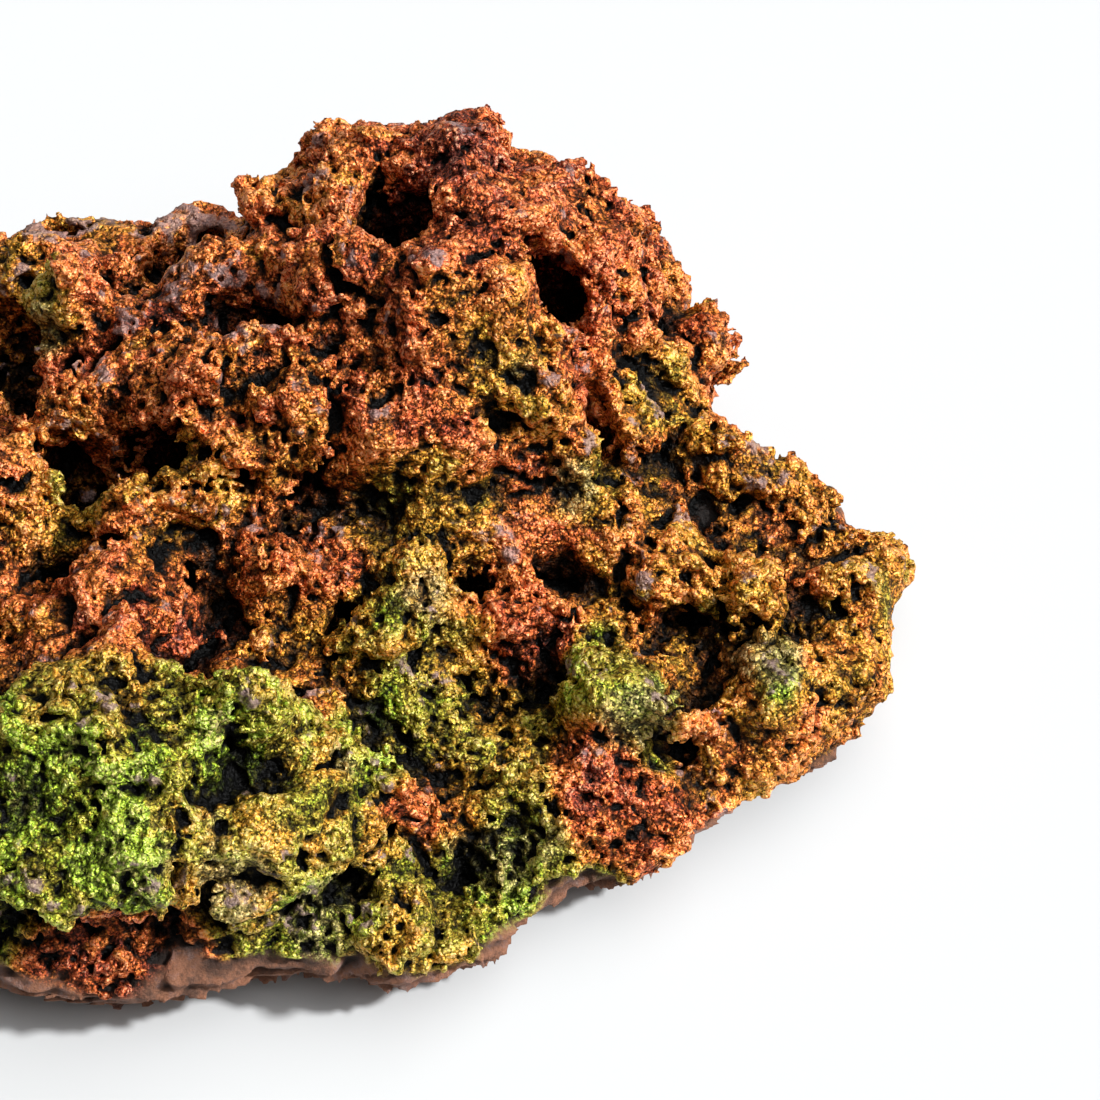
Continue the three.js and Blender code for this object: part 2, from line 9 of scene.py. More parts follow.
import bpy
import numpy as np
import openvdb as vdb
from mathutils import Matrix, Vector


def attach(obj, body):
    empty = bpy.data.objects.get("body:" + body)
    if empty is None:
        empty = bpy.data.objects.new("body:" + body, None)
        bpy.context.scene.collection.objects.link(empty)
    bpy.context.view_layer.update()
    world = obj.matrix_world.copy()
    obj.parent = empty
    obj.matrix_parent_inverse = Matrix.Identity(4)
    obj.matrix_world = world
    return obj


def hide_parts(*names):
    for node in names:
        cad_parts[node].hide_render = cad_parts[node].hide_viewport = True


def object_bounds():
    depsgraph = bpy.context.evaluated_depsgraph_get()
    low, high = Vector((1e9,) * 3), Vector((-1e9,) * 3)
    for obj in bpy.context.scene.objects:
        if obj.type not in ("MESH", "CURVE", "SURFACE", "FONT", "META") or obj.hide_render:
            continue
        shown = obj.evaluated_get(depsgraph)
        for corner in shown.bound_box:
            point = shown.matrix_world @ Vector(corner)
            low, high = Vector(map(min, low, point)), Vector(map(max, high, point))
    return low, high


bl_info = {
    "name": "Rough goethite",
    "version": (1, 0, 0),
    "blender": (4, 5, 0),
    "location": "3D View > Sidebar > Goethite",
    "description": "Grows the porous, iridescent crust of a rough goethite specimen and sets up its studio",
    "category": "Object",
}

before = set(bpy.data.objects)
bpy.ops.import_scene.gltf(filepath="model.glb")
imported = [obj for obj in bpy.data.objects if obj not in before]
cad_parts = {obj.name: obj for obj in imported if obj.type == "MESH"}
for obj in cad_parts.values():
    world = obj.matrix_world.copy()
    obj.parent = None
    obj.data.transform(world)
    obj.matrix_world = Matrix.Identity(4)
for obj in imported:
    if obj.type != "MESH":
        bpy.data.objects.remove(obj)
frame_box = [list(corner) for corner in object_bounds()]

NODE = "goethite_specimen"
MM = 0.001

# The surface is cut into these pieces from left to right, each light enough to handle.
PIECES = ["left_end", "front_rise", "mound_left", "mound_right", "slab", "right_end"]


# ---- settings ----
def hex_colour(text):
    """A colour written as sRGB hex digits, as the linear RGBA that shaders take."""
    srgb = np.array([int(text[i : i + 2], 16) / 255 for i in (1, 3, 5)])
    linear = np.where(srgb <= 0.04045, srgb / 12.92, ((srgb + 0.055) / 1.055) ** 2.4)
    return (*linear.tolist(), 1.0)


def length(name, description, millimetres):
    """A setting that is a length."""
    return bpy.props.FloatProperty(
        name=name, description=description, default=millimetres * MM, min=0.0, precision=5, unit="LENGTH"
    )


def amount(name, description, default):
    """A setting that is a plain number."""
    return bpy.props.FloatProperty(name=name, description=description, default=default, min=0.0)


def colour(name, description, text):
    """A setting that is a colour, written as sRGB hex digits."""
    linear = hex_colour(text)
    return bpy.props.FloatVectorProperty(
        name=name, description=description, default=linear, size=4, min=0.0, max=1.0, subtype="COLOR"
    )


class CrustSettings(bpy.types.PropertyGroup):
    """Sizes of the crust."""

    pitch: length("Grid step", "Step of the grid that the surface is worked out on", 0.335)
    thinning: amount("Thinning", "How readily flat places are given larger faces", 0.1)
    deepen: amount("Deepening", "How much deeper the wide hollows are than in the packed solid", 0.45)
    bend: length("Bend", "How far the broad form is bent to and fro", 0.7)
    bend_spacing: length("Bend spacing", "Distance between bends", 4.5)
    cluster_spacing: length("Cluster spacing", "Distance between clusters of lumps", 3.6)
    cluster_relief: length("Cluster relief", "How far a cluster stands out", 1.35)
    lump_spacing: length("Lump spacing", "Distance between lumps", 1.8)
    lump_relief: length("Lump relief", "How far a lump stands out", 0.95)
    knob_spacing: length("Knob spacing", "Distance between knobs", 1.15)
    knob_relief: length("Knob relief", "How far a knob stands out", 0.65)
    crack_depth: length("Crack depth", "Depth of the cracks between knobs", 0.6)
    grain_spacing: length("Grain spacing", "Distance between grains", 0.7)
    grain_relief: length("Grain relief", "How far a grain stands out", 0.3)
    pit_spacing: length("Pit spacing", "Distance between pits", 1.7)
    pit_depth: length("Pit depth", "Depth of the pits", 0.95)
    crevice_spacing: length("Crevice spacing", "Distance between crevices", 5.5)
    crevice_width: length("Crevice width", "Half the width of a wide crevice", 0.52)
    crevice_depth: length("Crevice depth", "How deep the crevices reach", 2.2)
    ledge_height: length("Ledge height", "Height of one broken layer of the body", 1.7)


class FinishSettings(bpy.types.PropertyGroup):
    """Colours and grain of the finish; the film's colours run from its thinnest to its thickest."""

    deep_red: colour("Deep red", "Film where it is thinnest", "#94483C")
    red: colour("Red", "Thin film", "#CC5C34")
    copper: colour("Copper", "Film on most of the mound", "#E8783C")
    orange: colour("Orange", "Film between copper and amber", "#F08C3C")
    amber: colour("Amber", "Film on the right end", "#EC9C3A")
    gold: colour("Gold", "Film on the bright spots", "#E6AA34")
    olive: colour("Olive", "Film on the middle and the front", "#BCA23A")
    lime: colour("Lime", "Film on the slab", "#C0BC3A")
    green: colour("Green", "Film on the front rise", "#A6CC34")
    thick: colour("Thick film", "Film where it is thickest", "#9A9248")
    dull: colour("Dull film", "Where the film is weathered", "#AC9C64")
    # Colour that the painted highlights on the brightest crystals lean to.
    glint: colour("Glint", "What a bright crystal's colour leans to", "#FFE8B8")
    worn: colour("Worn tips", "Light grey of tips with the film rubbed off", "#A08480")
    worn_dark: colour("Worn tips, dark", "Dark grey of tips with the film rubbed off", "#6A5250")
    body: colour("Broken body", "Main colour of the massive body where it is broken", "#A06C50")
    crystal: length("Crystal", "Width of one crystal face", 0.17)
    bead: length("Bead", "Width of one rounded grain", 0.5)
    sparkle: amount("Sparkle", "How far the crystal faces lean from the surface", 0.6)
    bump: length("Bump", "Height of the finish's own grain", 0.3)


class StudioSettings(bpy.types.PropertyGroup):
    """Studio floor and lights."""

    floor: colour("Floor", "Colour of the floor", "#CACCCD")
    key: amount("Key light", "Strength of the key light", 4.4)
    soft: amount("Soft light", "Strength of the wide light above", 2.0)
    fill: amount("Fill light", "Strength of the light from all round", 0.12)
    backdrop: amount("Backdrop", "Brightness of what stands behind the floor", 0.9)


def in_millimetres(settings):
    """The settings as plain numbers, with lengths in millimetres."""
    plain = SimpleNamespace()
    for name in type(settings).__annotations__:
        is_length = settings.bl_rna.properties[name].unit == "LENGTH"
        setattr(plain, name, getattr(settings, name) / MM if is_length else getattr(settings, name))
    return plain


# ---- how the surface is worked out, in millimetres ----
COARSE_PITCH = 0.6  # grid of the broad form
MARGIN = 4.0  # room round the specimen in both grids
BAND = 3.2  # how far from the broad surface the crust is worked out
FACET_BLUR = 0.9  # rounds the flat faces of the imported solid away
WIDE_BLUR = 3.0  # tells the wide hollows, which are deepened
FAR = 6.0  # a distance that is simply far
SMALL_BEND = 0.4  # how far the small bends push
HOLLOW_BEND = 2.2  # how far the listed hollows are pushed out of round
FILM_BEND = 1.8  # how far the edges of the film's patches wander
EDGE_WANDER = 1.3  # how far the crust's lower edge goes up and down
EDGE_USUAL = 8.0  # height of that edge far from the listed places
EDGE_BLEND = 60.0  # square millimetres over which the listed heights blend
NEAR_REACH, WIDE_REACH = 0.8, 3.0  # how far round a point its openness is judged
CHUNK = 1 << 17  # places worked on at a time

# One seed for each random field; a field read along three axes uses the two after it as well.
SEEDS = {
    "bend": 11, "small bend": 14, "edge": 21, "growth": 22, "film cells": 31, "knobs": 32, "grains": 33,
    "jagged": 34, "clusters": 36, "lumps": 37, "pits": 38, "small pits": 39, "rough": 41, "layers": 42,
    "hollow edge": 43, "strata": 44, "hollow bend": 45, "chips": 46, "small chips": 47, "film bend": 51,
    "film": 56, "patches": 57, "crevices": 61, "crevice width": 62, "crevice floor": 65,
}

# Distance between the swells of the fields whose spacing isn't a setting.
SPACINGS = {
    "small bend": 1.6, "edge": 2.6, "growth": 6.0, "small pits": 1.5, "crevice floor": 4.0,
    "hollow bend": 3.0, "hollow edge": 1.6, "jagged": 1.25, "rough": 2.4, "layers": 1.3, "strata": 7.0,
    "chips": 1.9, "small chips": 1.2, "film bend": 3.5, "film cells": 2.6, "film": 2.0, "patches": 1.8,
}


class Grid:
    """A regular grid of points round the specimen."""

    def __init__(self, low, high, pitch):
        self.pitch = pitch
        self.low = np.floor((np.array(low) - MARGIN) / pitch).astype(int)
        self.shape = tuple((np.ceil((np.array(high) + MARGIN) / pitch).astype(int) - self.low + 1).tolist())
        self.origin = (self.low * pitch).astype(np.float32)

    def places(self, index):
        """Places of the grid points with these flat indices."""
        steps = np.stack(np.unravel_index(index, self.shape), 1).astype(np.float32)
        return steps * np.float32(self.pitch) + self.origin

    def swells(self, spacing, seed):
        """A smooth random field, mostly within -1 and 1, whose swells are about spacing apart."""
        rng = np.random.default_rng(seed)
        knots = [int(n * self.pitch / spacing) + 4 for n in self.shape]
        field = rng.uniform(-2.2, 2.2, knots).astype(np.float32)
        for axis, n in enumerate(self.shape):
            t = np.arange(n) * self.pitch / spacing
            knot = t.astype(int)
            f = t - knot
            # The four weights of a cubic B-spline, each six times too large.
            weights = [(1 - f) ** 3, 3 * f**3 - 6 * f**2 + 4, -3 * f**3 + 3 * f**2 + 3 * f + 1, f**3]
            blend = np.zeros((n, knots[axis]), np.float32)
            for step, weight in enumerate(weights):
                blend[np.arange(n), knot + step] = weight / 6
            field = np.moveaxis(np.tensordot(blend, field, axes=(1, axis)), 0, axis)
        return np.ascontiguousarray(field)

    def read(self, field, places):
        """The field at any places, blended between the grid points."""
        out = np.empty(len(places), np.float32)
        flat = field.ravel()
        stride = (self.shape[1] * self.shape[2], self.shape[2], 1)
        for start in range(0, len(places), CHUNK):
            steps = (places[start : start + CHUNK] - self.origin) / np.float32(self.pitch)
            steps = np.clip(steps, 0, np.array(self.shape, np.float32) - 1.001)
            whole = steps.astype(np.int64)
            part = (steps - whole).astype(np.float32)
            base = whole @ np.array(stride)
            total = np.zeros(len(steps), np.float32)
            for i in (0, 1):
                share_x = part[:, 0] if i else 1 - part[:, 0]
                for j in (0, 1):
                    share_xy = share_x * (part[:, 1] if j else 1 - part[:, 1])
                    for k in (0, 1):
                        share = share_xy * (part[:, 2] if k else 1 - part[:, 2])
                        total += share * flat[base + i * stride[0] + j * stride[1] + k]
            out[start : start + CHUNK] = total
        return out

    def noise(self, name, places, spacing=None, axis=0):
        """The named random field at these places."""
        return self.read(self.swells(spacing or SPACINGS[name], SEEDS[name] + axis), places)

    def pushes(self, name, places, spacing=None):
        """Three named random fields side by side, to push the places about with."""
        return np.stack([self.noise(name, places, spacing, axis) for axis in range(3)], 1)


def scattered(places, spacing, name):
    """Distances to the nearest and next nearest of many scattered centres, and the nearest one's own number.

    Both are in spacings, and the number is from 0 to 1.
    """
    size = 64
    centres = np.random.default_rng(SEEDS[name]).random((size**3, 4), dtype=np.float32)
    near, after, own = (np.empty(len(places), np.float32) for _ in range(3))
    for start in range(0, len(places), CHUNK):
        # The shift keeps every place above 0, so that whole numbers are cut off downwards.
        p = places[start : start + CHUNK] / np.float32(spacing) + np.float32(500)
        home = p.astype(np.int32)
        part = p - home
        best = np.full(len(p), 9, np.float32)
        second = best.copy()
        mine = np.zeros(len(p), np.float32)
        for i in (-1, 0, 1):
            plane = (home[:, 0] + i) % size * (size * size)
            for j in (-1, 0, 1):
                row = plane + (home[:, 1] + j) % size * size
                for k in (-1, 0, 1):
                    centre = centres[row + (home[:, 2] + k) % size]
                    away = (centre[:, 0] + i - part[:, 0]) ** 2
                    away += (centre[:, 1] + j - part[:, 1]) ** 2
                    away += (centre[:, 2] + k - part[:, 2]) ** 2
                    mine = np.where(away < best, centre[:, 3], mine)
                    second = np.minimum(second, np.maximum(best, away))
                    best = np.minimum(best, away)
        near[start : start + CHUNK] = np.sqrt(best)
        after[start : start + CHUNK] = np.sqrt(second)
        own[start : start + CHUNK] = mine
    return near, after, own


def smooth_step(value, low, high):
    """0 below low, 1 above high, and smoothly between them."""
    t = np.clip((value - low) / (high - low), 0, 1)
    return t * t * (3 - 2 * t)


def distance_to(places, x, y, z, tall=1.0):
    """How far the places are from a spot, with heights counted tall times."""
    return np.sqrt((places[:, 0] - x) ** 2 + (places[:, 1] - y) ** 2 + (tall * (places[:, 2] - z)) ** 2)


def blurred(field, sigma):
    """The field smoothed along its three axes; sigma is in grid steps."""
    reach = int(np.ceil(3 * sigma))
    steps = np.arange(-reach, reach + 1)
    weights = np.exp(-(steps**2) / (2 * sigma * sigma))
    weights = (weights / weights.sum()).astype(np.float32)
    for axis in range(3):
        padding = [(reach, reach) if a == axis else (0, 0) for a in range(3)]
        padded = np.pad(field, padding, mode="edge")
        n = field.shape[axis]
        field = sum(w * np.take(padded, range(s, s + n), axis) for s, w in enumerate(weights))
    return field


def broad_form(grid, deepen):
    """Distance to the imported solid, with its facets rounded away and its wide hollows deepened."""
    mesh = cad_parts[NODE].data
    points = np.empty(len(mesh.vertices) * 3, np.float32)
    mesh.vertices.foreach_get("co", points)
    mesh.calc_loop_triangles()
    corners = np.empty(len(mesh.loop_triangles) * 3, np.int32)
    mesh.loop_triangles.foreach_get("vertices", corners)
    solid = vdb.FloatGrid.createLevelSetFromPolygons(
        (points.reshape(-1, 3) / MM).astype(np.float32),
        triangles=corners.reshape(-1, 3).astype(np.uint32),
        transform=vdb.createLinearTransform(voxelSize=grid.pitch),
        halfWidth=FAR / grid.pitch,
    )
    form = np.empty(grid.shape, np.float32)
    solid.copyToArray(form, ijk=tuple(int(v) for v in grid.low))
    form = blurred(form, FACET_BLUR / grid.pitch)
    return form + np.float32(deepen) * (form - blurred(form, WIDE_BLUR / grid.pitch))


def largest_body(vertex_count, faces):
    """Which faces belong to the largest connected surface; sealed pores and loose crumbs are the others."""
    label = np.arange(vertex_count)
    while True:
        before = label.copy()
        lowest = label[faces].min(1)
        for corner in range(faces.shape[1]):
            np.minimum.at(label, faces[:, corner], lowest)
        label = label[label]
        if np.array_equal(before, label):
            break
    names, sizes = np.unique(label[faces[:, 0]], return_counts=True)
    return label[faces[:, 0]] == names[sizes.argmax()]


# ---- where things are on the specimen, in millimetres ----
# Height at which the crust ends on the side of the specimen, round its edge: x, y, height.
CRUST_EDGE = [
    (-30, -38, 9), (-14, -38, 7.5), (-6, -37, 9), (3, -36, 9), (16, -36, 6.6), (24, -29, 6.2), (36, -24, 6.6),
    (47, -18, 6.6), (52, -11, 5), (55, 0, 3), (53, 6, 5), (46, 9, 10.5), (40, 10.5, 12.5), (36, 17, 8),
    (31, 32, 7), (15, 38, 9), (-5, 33, 13), (-22, 32, 11), (-40, 27, 10), (-54, 5, 6), (-50, -22, 7),
]

# Places on top where a broken layer shows bare: name, x, y, z, reach.
BARE_PLATES = [
    ("left back plate", -36, 28, 15, 7),
    ("plate right of the mound", 38, 9.8, 14.5, 3.2),
    ("right back bevel", 47, 9, 9, 4),
]

# Deep hollows between the lumps: x, y, z, radius.
HOLLOWS = [
    (10.5, 24.5, 28.5, 1.4), (7.6, 24.0, 27.5, 1.3), (13.0, 23.0, 30.5, 1.1), (-18.4, 22.5, 25.0, 2.4),
    (-22.5, 22.0, 22.0, 2.2), (-7.5, 31.5, 17.0, 2.6), (-14.0, 25.5, 21.0, 2.2), (-12.0, 29.0, 18.5, 1.8),
    (21.6, 22.0, 28.0, 1.1), (22.7, 8.0, 28.2, 0.9), (-1.6, 13.7, 27.8, 1.6), (-7.1, 3.7, 24.6, 1.5),
    (-20.8, 6.2, 21.6, 2.0), (-19.0, 7.0, 16.0, 2.4), (-14.0, -3.3, 21.6, 1.7), (-15.3, 12.6, 25.2, 2.0),
    (-19.5, 13.0, 23.0, 2.2), (-11.7, 8.7, 23.4, 1.7), (-3.5, 6.6, 26.6, 1.2),
    (27.4, 14.8, 25.6, 0.9), (-2.8, 2.6, 22.0, 1.7), (14.3, -9.6, 16.9, 1.7), (-7.7, -35.6, 19.5, 2.2),
    (-4.5, -34.4, 14.5, 2.4), (10.4, -26.2, 13.0, 1.2), (-9.6, -4.3, 18.6, 1.5), (-18.3, -9.7, 20.8, 1.3),
    (28.6, -20.6, 11.8, 1.2), (33.5, -14.5, 12.6, 1.2), (-23.5, 1.0, 19.5, 1.8), (-16.0, 1.0, 20.0, 1.8),
    (-22.0, -4.0, 20.5, 1.6), (-5.0, -8.0, 18.0, 1.4), (-24.5, 12.0, 19.0, 2.0), (37.2, 0.6, 13.9, 1.2),
    (49.3, -9.6, 10.5, 1.1),
]

# Places where the crust is fine and even: name, x, y, z, reach.
EVEN_PLACES = [
    ("wedge", 24, -1, 18, 5),
    ("green slab", 29.4, -15.5, 16, 4),
    ("front rise foot", 2.6, -26, 22, 4),
    ("right end face", 53.5, -3, 8, 5),
    ("back left plate", -20, 31.5, 20, 6),
    ("back left lower plate", -9.5, 32.6, 19, 4),
    ("lip right of the mound", 40, 9, 14, 3),
]

# Tips and thin plates where the film is rubbed off: x, y, z, reach.
RUBBED_PATCHES = [
    (3.3, 27.3, 32.2, 2.2), (1.0, 26.7, 30.8, 1.8), (-0.9, 17.6, 29.1, 2.0), (-4.7, 20.4, 28.3, 2.0),
    (-11.3, 19.0, 27.2, 2.4), (-5.3, 17.6, 23.9, 1.6), (-13.7, 16.5, 27.6, 1.8), (-22.0, 30.5, 20.1, 4.5),
    (-16.8, 32.5, 19.2, 3.6), (-9.4, 32.6, 19.1, 4.0), (-15.7, 23.3, 24.0, 2.4), (41.9, 7.8, 15.4, 3.0),
    (15.0, 30.0, 34.0, 2.2), (-7.0, -34.0, 20.0, 1.5),
]

# The film that gives the crust its colours: the thicker it is, the farther along this row.
FILM = {
    "deep_red": 0.0, "red": 0.1, "copper": 0.2, "orange": 0.3, "amber": 0.4, "gold": 0.5, "olive": 0.62,
    "lime": 0.74, "green": 0.84, "thick": 0.95,
}

# Patches of the film: colour, x, y, z, reach.
FILM_PATCHES = [
    ("copper", 12.7, 14.2, 33, 9), ("orange", -0.1, 24.6, 28, 7), ("red", 14.2, 26.5, 34, 5),
    ("copper", 24, 22, 26, 8), ("orange", 1.7, 7.2, 31, 6), ("copper", -13.4, 12.8, 29, 7),
    ("orange", -5.8, 9.7, 29, 4), ("gold", -10.8, 9.9, 26.3, 2.6), ("gold", -13.6, 14.4, 27.5, 2.2),
    ("olive", -22.3, 19.7, 24.7, 2.4), ("gold", 13.6, -1.3, 21.4, 2.4), ("gold", 17, 12, 33, 4),
    ("gold", 20, 8.9, 30, 4), ("gold", 32.3, 14.1, 22, 4), ("orange", 30, 20, 20, 6),
    ("orange", 37, 20.7, 19, 4), ("gold", 12.7, -2.2, 22, 4.5), ("orange", 23.9, -1.2, 18, 4),
    ("olive", 26.5, 3.4, 19, 2.4), ("gold", 14, -7.4, 19, 4), ("copper", 20.4, -8.2, 17, 3),
    ("lime", 29.4, -15.6, 16, 3.6), ("copper", 28.1, -22.2, 13, 3.5), ("amber", 31.8, -1.9, 15, 4),
    ("amber", 37, 4, 15, 5), ("amber", 46, 2, 14, 5), ("lime", 41.5, -12.1, 15, 2.2),
    ("gold", 40.5, -5.4, 14, 4), ("amber", 36, -12, 14, 4), ("gold", 52, -3, 10, 4),
    ("amber", 48, -12, 10, 4), ("green", -15.6, -31.9, 29, 5), ("olive", -16, -23.5, 29, 4),
    ("lime", -11, -28.5, 28.4, 4), ("lime", -5.4, -20.2, 26.7, 3.5), ("green", -3.5, -25, 25, 2.6),
    ("lime", -0.5, -23.5, 23, 2.6), ("olive", 2.6, -26.5, 22, 4), ("olive", -1.4, -31.8, 20, 4),
    ("lime", -20, -24, 28, 4), ("copper", -14.2, -10.2, 22, 5), ("orange", -20, -14.9, 20, 6),
    ("orange", -23.7, 3.7, 24, 6), ("amber", -11.9, -1.2, 22, 4), ("orange", -1.9, -5, 20, 3),
    ("copper", 2.4, -5, 20, 3), ("gold", -8, 3, 22, 3), ("olive", -18, 2, 22, 4),
    ("olive", 8.8, -11.2, 17, 5), ("amber", 3, -14, 18, 4), ("olive", 17.9, -22.2, 14, 4),
    ("lime", 20.5, -27.8, 11, 4), ("copper", 12.8, -24, 12, 2.6), ("olive", 10.5, -33.4, 12, 4),
    ("green", 4.7, -35.2, 12, 3), ("copper", -14.6, -36.7, 9, 4), ("amber", 40, 14, 18, 4),
    ("lime", 9, -19, 17, 4), ("lime", -30, -30, 20, 8), ("green", -42, -22, 15, 8),
    ("gold", -38, -8, 20, 7), ("copper", -46, 4, 15, 8), ("amber", -36, 14, 20, 8),
    ("olive", -20, -20, 26, 3),
]

# Where the film is weathered and its colour goes dull: x, y, z, reach.
DULL_PATCHES = [
    (12.3, -8.1, 20.2, 3), (25, 2.4, 21.3, 2.6), (31.5, -17.7, 16.2, 3.5), (41.7, -11.4, 14.6, 3),
    (17.5, -28.4, 8.5, 4), (22.3, -27.4, 10.1, 3), (3.9, -34, 11.7, 4), (-3, -33.7, 17.4, 4),
    (10, -20.9, 12.4, 2), (-9.5, -34, 23, 3), (5.5, -24, 20, 1.6), (-22, 16, 24, 2.5), (20.5, 8.5, 29, 2),
]


# ---- the surface ----
def crusted_share(places, coarse):
    """1 where the porous crust has grown, 0 on the broken massive body below it."""
    ragged = coarse.noise("edge", places)
    total = np.full(len(places), 1e-6, np.float32)
    edge = total * EDGE_USUAL
    for x, y, height in CRUST_EDGE:
        weight = np.exp(-((places[:, 0] - x) ** 2 + (places[:, 1] - y) ** 2) / EDGE_BLEND)
        total += weight
        edge += weight * height
    edge = edge / total + EDGE_WANDER * ragged
    share = smooth_step(places[:, 2], edge - 0.5, edge + 0.7)
    for _, x, y, z, reach in BARE_PLATES:
        away = distance_to(places, x, y, z, tall=1.6) / reach
        share = share * smooth_step(away + 0.22 * ragged, 0.85, 1.0)
    return share


def growth(places, crust, coarse):
    """How strongly the crust's relief shows: uneven from place to place, and low where the crust is fine."""
    grow = crust * np.clip(1.0 + 0.4 * coarse.noise("growth", places), 0.7, 1.4)
    for _, x, y, z, reach in EVEN_PLACES:
        grow *= 0.3 + 0.7 * smooth_step(distance_to(places, x, y, z) / reach, 0.6, 1.2)
    return grow


def bend_places(places, coarse, sizes):
    """The places pushed to and fro, so that whatever is looked up there comes out irregular."""
    bent = places + np.float32(sizes.bend) * coarse.pushes("bend", places, sizes.bend_spacing)
    return bent + np.float32(SMALL_BEND) * coarse.pushes("small bend", places)


def lumps(places, coarse, name, spacing=None):
    """Rounded lumps that meet in sharp irregular creases: about 0 in the creases, 1 on the tallest."""
    return np.minimum(1.25 * np.abs(coarse.noise(name, places, spacing)), 1)


def crust_relief(bent, coarse, sizes):
    """How far the crust stands out: lumps on clusters, knobs with cracks between them, and pits."""
    relief = sizes.cluster_relief * (lumps(bent, coarse, "clusters", sizes.cluster_spacing) - 0.45)
    relief += sizes.lump_relief * (lumps(bent, coarse, "lumps", sizes.lump_spacing) - 0.45)
    near, after, own = scattered(bent, sizes.knob_spacing, "knobs")
    relief += sizes.knob_relief * (0.5 - 1.6 * near**2 + 0.8 * (own - 0.5))
    relief -= sizes.crack_depth * (1 - smooth_step(after - near, 0.02, 0.16))
    pits = coarse.noise("pits", bent, sizes.pit_spacing) + 0.5 * coarse.noise("small pits", bent)
    return relief - sizes.pit_depth * smooth_step(pits, 0.85, 1.1)


def crevices(places, bent, broad, coarse, sizes):
    """Depth below the walls of the crevices, above 0 inside them."""
    spacing = sizes.crevice_spacing
    middle = np.abs(coarse.noise("crevices", bent, spacing)) * spacing * 0.42
    width = sizes.crevice_width * (1.6 * coarse.noise("crevice width", bent, spacing * 1.3) + 0.1)
    floor = sizes.crevice_depth * (0.7 + 0.5 * coarse.noise("crevice floor", places))
    return np.minimum(width - middle, floor + broad)


def hollows(places, bent, coarse, sizes):
    """Depth below the walls of the listed hollows, above 0 inside them; lumps stand in from their walls."""
    spots = bent + np.float32(HOLLOW_BEND) * coarse.pushes("hollow bend", places)
    deep = np.full(len(places), -FAR, np.float32)
    for x, y, z, radius in HOLLOWS:
        close = np.flatnonzero(np.abs(spots[:, 0] - x) < radius + 1)
        deep[close] = np.maximum(deep[close], radius - distance_to(spots[close], x, y, z))
    deep += 0.6 * coarse.noise("hollow edge", places)
    return deep - (lumps(bent, coarse, "lumps", sizes.lump_spacing) - 0.3)


def grains(places, bent, coarse, sizes):
    """How far the grains stand out: rounded heads, with jagged places between them."""
    heads = 1 - 1.7 * scattered(places, sizes.grain_spacing, "grains")[0] ** 2
    return sizes.grain_relief * (heads + 0.6 * coarse.noise("jagged", bent * np.float32(0.8)))


def body_relief(places, bent, coarse, sizes):
    """How far the broken body stands out: uneven layers with sharp upper edges, chipped here and there."""
    rough = coarse.noise("rough", places)
    layers = coarse.noise("layers", places * np.array([0.6, 0.6, 1.6], np.float32))
    strata = places[:, 2] + 2.4 * coarse.noise("strata", places) + 0.5 * rough + 0.3 * layers
    ledge = (strata / sizes.ledge_height % 1) ** 3
    chipped = lumps(bent, coarse, "chips") + 0.6 * lumps(bent, coarse, "small chips")
    return 0.3 * rough + 0.1 * layers + 0.9 * ledge + 0.8 * chipped - 0.8


def carve(field, fine, form, coarse, sizes):
    """Carves the crust and the broken body into the distance field on the fine grid."""
    band = np.flatnonzero(np.abs(field) < BAND)
    places = fine.places(band)
    crust = crusted_share(places, coarse)
    bent = bend_places(places, coarse, sizes)
    broad = coarse.read(form, bent) * crust + field[band] * (1 - crust)
    distance = broad - crust_relief(bent, coarse, sizes) * growth(places, crust, coarse)
    cut = crevices(places, bent, broad, coarse, sizes) * crust - 2 * (1 - crust)
    distance = np.maximum(distance, cut)
    distance = np.maximum(distance, hollows(places, bent, coarse, sizes))
    close = np.flatnonzero(np.abs(distance) < 0.9)
    distance[close] -= grains(places[close], bent[close], coarse, sizes) * crust[close]
    distance -= (1 - crust) * body_relief(places, bent, coarse, sizes)
    # The specimen rests on the floor, so nothing is left below it.
    field[band] = np.maximum(distance, -places[:, 2])


def openness(field, fine, low, high, points):
    """How open the surface is round each point, near it and wider: below 0 in hollows, above 0 on tips."""
    solid = (field[::2, ::2, ::2] < 0).astype(np.float32)
    # Every other point of the fine grid, from the same corner.
    half = Grid(low, high, fine.pitch)
    half.pitch, half.shape = fine.pitch * 2, solid.shape
    reaches = (NEAR_REACH, WIDE_REACH)
    return [1 - 2 * half.read(blurred(solid, reach / half.pitch), points) for reach in reaches]


